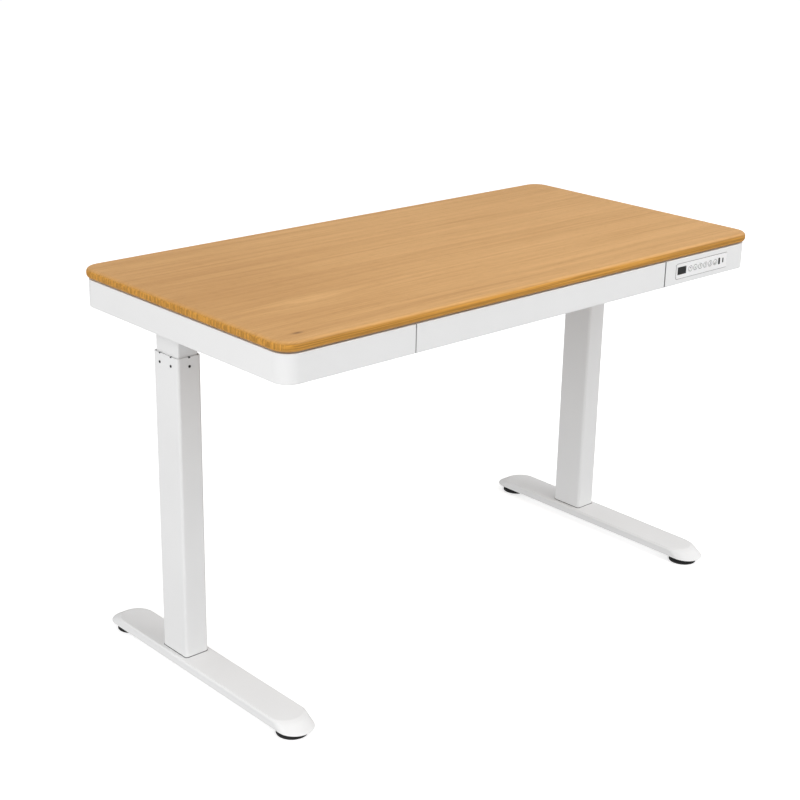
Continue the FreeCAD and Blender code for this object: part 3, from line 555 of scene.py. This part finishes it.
def piece_of(form, name, body, material):
    """Turns a bmesh into a piece that rides on a body."""
    bmesh.ops.recalc_face_normals(form, faces=form.faces)
    mesh = bpy.data.meshes.new(name)
    form.to_mesh(mesh)
    form.free()
    mesh.materials.append(material)
    piece = bpy.data.objects.new(name, mesh)
    bpy.context.scene.collection.objects.link(piece)
    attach(piece, body)
    return piece


def round_outline(wide, tall, corner, turns=12):
    """Points of a rectangle with round corners, or of a circle, about the origin."""
    points = []
    for quarter, (along, up) in enumerate(((1, 1), (-1, 1), (-1, -1), (1, -1))):
        middle = (along * (wide / 2 - corner), up * (tall / 2 - corner))
        for step in range(turns + 1):
            angle = math.radians(90 * (quarter + step / turns))
            points.append((middle[0] + corner * math.cos(angle), middle[1] + corner * math.sin(angle)))
    return points


def add_band(form, centre, size, corner, width, proud):
    """A flat raised band, width wide, that follows a round rectangle facing -Y."""
    wide, tall = size
    crown = 0.25 * width
    rungs = ((0, 0.6), (0, -0.6), (crown, -1), (width - crown, -1), (width, -0.6), (width, 0.6))
    loops = []
    for inset, lift in rungs:
        round_off = max(corner - inset, 0.0001)
        outline = round_outline(wide - 2 * inset, tall - 2 * inset, round_off)
        loops.append(
            [form.verts.new((centre.x + x, centre.y + lift * proud, centre.z + z)) for x, z in outline]
        )
    for lower, upper in zip(loops, loops[1:] + loops[:1]):
        for spot in range(len(lower)):
            after = (spot + 1) % len(lower)
            form.faces.new((lower[spot], lower[after], upper[after], upper[spot]))


def arc(x, z, radius, start, end, steps=10):
    """Points along an arc, in degrees anticlockwise from the right."""
    angles = [math.radians(start + (end - start) * step / steps) for step in range(steps + 1)]
    return [(x + radius * math.cos(angle), z + radius * math.sin(angle)) for angle in angles]


# Strokes of each key's sign in a square from -1 to 1
SIGNS = {
    "key_up": [[(0, -0.9), (0, 0.8)], [(-0.65, 0.15), (0, 0.85), (0.65, 0.15)]],
    "key_down": [[(0, 0.9), (0, -0.8)], [(-0.65, -0.15), (0, -0.85), (0.65, -0.15)]],
    "key_preset_1": [[(-0.35, 0.55), (0.1, 0.95), (0.1, -0.95)]],
    "key_preset_2": [arc(0, 0.40, 0.52, 165, -35) + [(-0.55, -0.95)], [(-0.55, -0.95), (0.6, -0.95)]],
    "key_preset_3": [arc(-0.05, 0.48, 0.46, 150, -90), arc(-0.05, -0.46, 0.50, 90, -150)],
    "key_store": [
        [(-0.8, -0.25), (-0.8, -0.85), (0.8, -0.85), (0.8, -0.25)],
        [(0, 0.9), (0, -0.35)],
        [(-0.42, 0.05), (0, -0.38), (0.42, 0.05)],
    ],
}


def key_face(key):
    """Middle of a key's front face."""
    low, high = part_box(key)
    return Vector(((low.x + high.x) / 2, low.y, (low.z + high.z) / 2))


class DESK_OT_key_rings(bpy.types.Operator):
    """Prints a grey ring near the rim of every key"""

    bl_idname = "desk.key_rings"
    bl_label = "Key rings"

    def execute(self, context):
        panel = context.scene.desk.panel
        material = print_and_shadow_line_finish("ring_ink", tuple(panel.ring))
        key_wide = 2 * CAP_RADIUS
        for key in SIGNS:
            form = bmesh.new()
            add_band(form, key_face(key), (key_wide, key_wide), CAP_RADIUS, panel.ring_wide, PRINT_PROUD)
            piece_of(form, key + "_ring", key, material)
        return {"FINISHED"}


class DESK_OT_key_signs(bpy.types.Operator):
    """Prints arrows, the numbers 1 to 3 and a store sign on the keys"""

    bl_idname = "desk.key_signs"
    bl_label = "Key signs"

    def execute(self, context):
        panel = context.scene.desk.panel
        material = print_and_shadow_line_finish("sign_ink", tuple(panel.ink))
        for key, strokes in SIGNS.items():
            face = key_face(key)
            form = bmesh.new()
            for stroke in strokes:
                self.add_stroke(form, face, stroke, panel)
            piece_of(form, key + "_sign", key, material)
        return {"FINISHED"}

    def add_stroke(self, form, face, stroke, panel):
        """A low ridge with round ends along the stroke."""
        scale = panel.sign_tall / 2
        points = [Vector((face.x + x * scale, 0, face.z + z * scale)) for x, z in stroke]
        half = panel.stroke / 2
        sections = []
        count = len(points)
        for spot, point in enumerate(points):
            ahead = points[min(spot + 1, count - 1)] - points[max(spot - 1, 0)]
            across = Vector((-ahead.z, 0, ahead.x)).normalized() * half
            turn = (points[spot] - points[max(spot - 1, 0)]).normalized()
            on = (points[min(spot + 1, count - 1)] - points[spot]).normalized()
            if turn.length and on.length:
                across /= max(abs(turn.dot(ahead.normalized())), 0.5)
            reach = ahead.normalized() * half * 0.8 if spot in (0, count - 1) else Vector()
            middle = point + (reach if spot else -reach)
            narrow = 0.55 if spot in (0, count - 1) else 1.0
            sections.append([middle + across * share * narrow for share in (-1, -0.6, 0.6, 1)])
        rows = []
        for section in sections:
            lifts = (0.6, -1, -1, 0.6)
            rows.append(
                [
                    form.verts.new((side.x, face.y + lift * PRINT_PROUD, side.z))
                    for side, lift in zip(section, lifts)
                ]
            )
        for near, far in zip(rows, rows[1:]):
            for side in range(4):
                after = (side + 1) % 4
                form.faces.new((near[side], near[after], far[after], far[side]))
        form.faces.new(rows[0])
        form.faces.new(reversed(rows[-1]))


class DESK_OT_panel_painted_shadow(bpy.types.Operator):
    """Lays a thin grey band round the control panel's plate, a painted shadow line along the plate's
    edge
    """

    bl_idname = "desk.panel_seal"
    bl_label = "Panel seal"

    def execute(self, context):
        panel = context.scene.desk.panel
        low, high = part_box("panel_plate")
        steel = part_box("apron_right")[0].y
        wide = high.x - low.x + 2 * panel.seal
        tall = high.z - low.z + 2 * panel.seal
        centre = Vector(((low.x + high.x) / 2, steel, (low.z + high.z) / 2))
        form = bmesh.new()
        add_band(form, centre, (wide, tall), PLATE_CORNER + panel.seal, panel.seal, SHADOW_LINE_PROUD)
        # The grey band is a painted shadow line along the plate's edge
        material = print_and_shadow_line_finish("seal_rubber", (0.16, 0.16, 0.165))
        piece_of(form, "panel_seal", "upper", material)
        return {"FINISHED"}


def insert_and_painted_shadow_finish(name):
    """Soft black finish with a matt, slightly uneven skin, for the socket inserts and for the painted
    shadow strips at the column feet and in the drawer gaps.
    """
    seal = Finish(name)
    skin = seal.noise(seal.place(), 1500.0, 3.0, 0.6)
    return seal.surface(
        Base_Color=seal.mix(skin, (0.010, 0.010, 0.011), (0.026, 0.026, 0.027)),
        Roughness=skin * 0.2 + 0.55,
        Normal=seal.bump(skin, 0.00004),
    )


def add_loops(form, loops, closed):
    """Joins rings of points with faces, the last ring to the first as well if closed."""
    rings = [[form.verts.new(point) for point in loop] for loop in loops]
    pairs = zip(rings, rings[1:] + rings[:1]) if closed else zip(rings, rings[1:])
    for lower, upper in pairs:
        for spot in range(len(lower)):
            after = (spot + 1) % len(lower)
            form.faces.new((lower[spot], lower[after], upper[after], upper[spot]))
    if not closed:
        form.faces.new(rings[0])
        form.faces.new(rings[-1])


class DESK_OT_column_painted_shadows(bpy.types.Operator):
    """Runs a thin dark bead round the foot of each outer tube, a painted shadow line where the tube
    meets the foot
    """

    bl_idname = "desk.column_seals"
    bl_label = "Column seals"

    def execute(self, context):
        material = insert_and_painted_shadow_finish("column_seal")
        for side in ("left", "right"):
            low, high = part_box("outer_tube_" + side)
            form = bmesh.new()
            loops = []
            for out, up in BEAD:
                outline = round_outline(
                    high.x - low.x + 2 * out, high.y - low.y + 2 * out, TUBE_CORNER + out
                )
                middle = (low + high) / 2
                loops.append([(middle.x + x, middle.y + y, low.z + up) for x, y in outline])
            add_loops(form, loops, closed=True)
            piece_of(form, "column_seal_" + side, "base", material)
        return {"FINISHED"}


class DESK_OT_drawer_painted_shades(bpy.types.Operator):
    """Sets a dark soft strip in the gap at each end of the drawer front, painted shade that darkens the
    gap
    """

    bl_idname = "desk.drawer_buffers"
    bl_label = "Drawer buffers"

    def execute(self, context):
        material = insert_and_painted_shadow_finish("drawer_buffer")
        front_low, front_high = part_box("drawer_front")
        for side, steel, front in (
            ("left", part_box("apron_left")[1].x, front_low.x),
            ("right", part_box("apron_right")[0].x, front_high.x),
        ):
            thick = (front - steel) * GAP_SHADE_SHARE
            depth = GAP_SHADE_DEEP / 2
            middle = front_low.y + GAP_SHADE_BACK + depth
            corner = abs(thick) / 3
            outline = round_outline(abs(thick), 2 * depth, corner, turns=4)
            form = bmesh.new()
            loops = []
            for level in (front_low.z + GAP_SHADE_END, front_high.z - GAP_SHADE_END):
                loops.append([(steel + thick / 2 + x, middle + y, level) for x, y in outline])
            add_loops(form, loops, closed=False)
            piece_of(form, "drawer_buffer_" + side, "upper", material)
        return {"FINISHED"}


class DESK_OT_port_inserts(bpy.types.Operator):
    """Lines the mouths of the two sockets with black plastic and caps their tongues"""

    bl_idname = "desk.port_inserts"
    bl_label = "Socket inserts"

    def execute(self, context):
        material = insert_and_painted_shadow_finish("socket_insert")
        for port, tongue in TONGUES.items():
            low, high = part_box(port + "_port")
            middle = (low + high) / 2
            wide = high.x - low.x
            tall = high.z - low.z
            mouth = (wide - 2 * SOCKET_WALL - 0.0001, tall - 2 * SOCKET_WALL - 0.0001)
            blade = (tongue + 4 * INSERT_SKIN, mouth[1] - 4 * INSERT_SKIN)
            form = bmesh.new()
            for size, wall, start, end in (
                ((wide, tall), SOCKET_WALL + INSERT_SKIN, -INSERT_SKIN, -0.00005),
                (mouth, INSERT_SKIN, -0.00005, INSERT_DEEP),
                (blade, 0.0003, TONGUE_BACK, INSERT_DEEP),
            ):
                self.add_sleeve(form, middle, low.y, size, wall, start, end)
            self.add_cap(form, middle, low.y + TONGUE_BACK, blade)
            piece_of(form, port + "_insert", "upper", material)
        return {"FINISHED"}

    def add_sleeve(self, form, middle, face, size, wall, start, end):
        """A rectangular sleeve that runs inwards from the face."""
        loops = []
        for inset, depth in ((0, start), (wall, start), (wall, end), (0, end)):
            corner = min(size) / 4 - inset / 2
            outline = round_outline(size[0] - 2 * inset, size[1] - 2 * inset, corner, turns=4)
            loops.append([(middle.x + x, face + depth, middle.z + z) for x, z in outline])
        add_loops(form, loops, closed=True)

    def add_cap(self, form, middle, level, size):
        """A thin rounded plate that closes a sleeve's front."""
        loops = []
        for inset, depth in ((0.0001, 0), (0, 0.0001), (0, 0.0002)):
            outline = round_outline(size[0] - 2 * inset, size[1] - 2 * inset, min(size) / 4, turns=4)
            loops.append([(middle.x + x, level + depth, middle.z + z) for x, z in outline])
        add_loops(form, loops, closed=False)


# Studio


def floor_finish(desk):
    """Pale studio floor, lifted towards white, with a faint mottle."""
    floor = Finish("studio_floor")
    mottle = floor.noise(floor.place(), 1.5, 3.0)
    pale = floor.mix(mottle, (0.86, 0.86, 0.86), (0.84, 0.84, 0.84))
    return floor.surface(
        Base_Color=pale,
        Roughness=mottle * 0.1 + 0.75,
        Emission_Color=pale,
        Emission_Strength=desk.stage.glow,
        Specular_IOR_Level=0.0,
    )


def area_lamp(name, place, power):
    """A wide round lamp aimed at the middle of the desk."""
    lamp = bpy.data.lights.new(name, "AREA")
    lamp.shape = "DISK"
    lamp.size = LAMP_WIDE
    lamp.energy = power
    shown = bpy.data.objects.new(name, lamp)
    shown.location = place
    shown.rotation_mode = "QUATERNION"
    shown.rotation_quaternion = (LAMP_AIM - shown.location).to_track_quat("-Z", "Y")
    bpy.context.scene.collection.objects.link(shown)


class DESK_OT_stage(bpy.types.Operator):
    """Sets the floor, the soft lamps and the camera"""

    bl_idname = "desk.stage"
    bl_label = "Stage"

    def execute(self, context):
        stage = context.scene.desk.stage
        self.lay_floor(floor_finish(context.scene.desk))
        world = bpy.data.worlds.new("studio_sky")
        world.use_nodes = True
        world.node_tree.nodes["Background"].inputs["Color"].default_value = (1, 1, 1, 1)
        world.node_tree.nodes["Background"].inputs["Strength"].default_value = stage.sky
        context.scene.world = world
        for name, place, setting in LAMPS:
            area_lamp(name, place, getattr(stage, setting))
        self.set_camera(context)
        context.scene.view_settings.view_transform = "Standard"
        return {"FINISHED"}

    def lay_floor(self, material):
        """A wide floor that bends up into a far backdrop. Neither lights nor shades the desk."""
        form = bmesh.new()
        bmesh.ops.create_grid(form, x_segments=8, y_segments=8, size=FLOOR_REACH)
        self.add_stage_piece(form, "studio_floor", material)
        form = bmesh.new()
        wall = [
            (FLOOR_REACH * math.cos(math.radians(turn)), FLOOR_REACH * math.sin(math.radians(turn)))
            for turn in range(0, 360, 10)
        ]
        tops = [[(x * share, y * share, FLOOR_REACH * up) for x, y in wall] for share, up in BACKDROP]
        add_loops(form, tops, closed=False)
        backdrop = self.add_stage_piece(form, "studio_backdrop", material)
        backdrop.visible_shadow = False

    def add_stage_piece(self, form, name, material):
        mesh = bpy.data.meshes.new(name)
        form.to_mesh(mesh)
        form.free()
        mesh.materials.append(material)
        shown = bpy.data.objects.new(name, mesh)
        bpy.context.scene.collection.objects.link(shown)
        shown.visible_diffuse = False
        shown.visible_glossy = False
        return shown

    def set_camera(self, context):
        stage = context.scene.desk.stage
        camera = bpy.data.cameras.new("camera")
        camera.lens = stage.lens
        camera.sensor_width = 36.0
        camera.shift_x = -stage.shift
        camera.shift_y = stage.shift
        level = math.cos(stage.drop)
        ahead = Vector(
            (math.sin(stage.azimuth) * level, math.cos(stage.azimuth) * level, -math.sin(stage.drop))
        )
        right = ahead.cross(Vector((0, 0, 1))).normalized()
        up = right.cross(ahead)
        lean = Matrix.Rotation(-stage.roll, 3, ahead)
        axes = Matrix((lean @ right, lean @ up, -ahead)).transposed()
        shown = bpy.data.objects.new("camera", camera)
        shown.matrix_world = Matrix.Translation(stage.place) @ axes.to_4x4()
        context.scene.collection.objects.link(shown)
        context.scene.camera = shown


# Add-on


class DeskSettings(bpy.types.PropertyGroup):
    """Everything that can be set on the desk's looks"""

    wood: bpy.props.PointerProperty(type=WoodSettings, name="Wood", description="Desk top")
    coat: bpy.props.PointerProperty(type=CoatSettings, name="Coats", description="Coats and plastics")
    panel: bpy.props.PointerProperty(type=PanelSettings, name="Panel", description="Control panel")
    stage: bpy.props.PointerProperty(type=StageSettings, name="Stage", description="Studio and camera")


OPERATORS = (
    DESK_OT_finishes,
    DESK_OT_key_rings,
    DESK_OT_key_signs,
    DESK_OT_panel_painted_shadow,
    DESK_OT_column_painted_shadows,
    DESK_OT_drawer_painted_shades,
    DESK_OT_port_inserts,
    DESK_OT_stage,
)


class DESK_PT_looks(bpy.types.Panel):
    """Lists the desk's operators and settings"""

    bl_idname = "DESK_PT_looks"
    bl_label = "Standing desk"
    bl_space_type = "VIEW_3D"
    bl_region_type = "UI"
    bl_category = "Desk"

    def draw(self, context):
        for operator in OPERATORS:
            self.layout.operator(operator.bl_idname)
        desk = context.scene.desk
        for group in (desk.wood, desk.coat, desk.panel, desk.stage):
            box = self.layout.box()
            for name in group.__annotations__:
                box.prop(group, name)


CLASSES = (
    WoodSettings,
    CoatSettings,
    PanelSettings,
    StageSettings,
    DeskSettings,
    *OPERATORS,
    DESK_PT_looks,
)


def register():
    for each in CLASSES:
        bpy.utils.register_class(each)
    bpy.types.Scene.desk = bpy.props.PointerProperty(type=DeskSettings)


def unregister():
    del bpy.types.Scene.desk
    for each in reversed(CLASSES):
        bpy.utils.unregister_class(each)


def main():
    register()
    for operator in OPERATORS:
        group, name = operator.bl_idname.split(".")
        getattr(getattr(bpy.ops, group), name)()


if __name__ == "__main__":
    main()
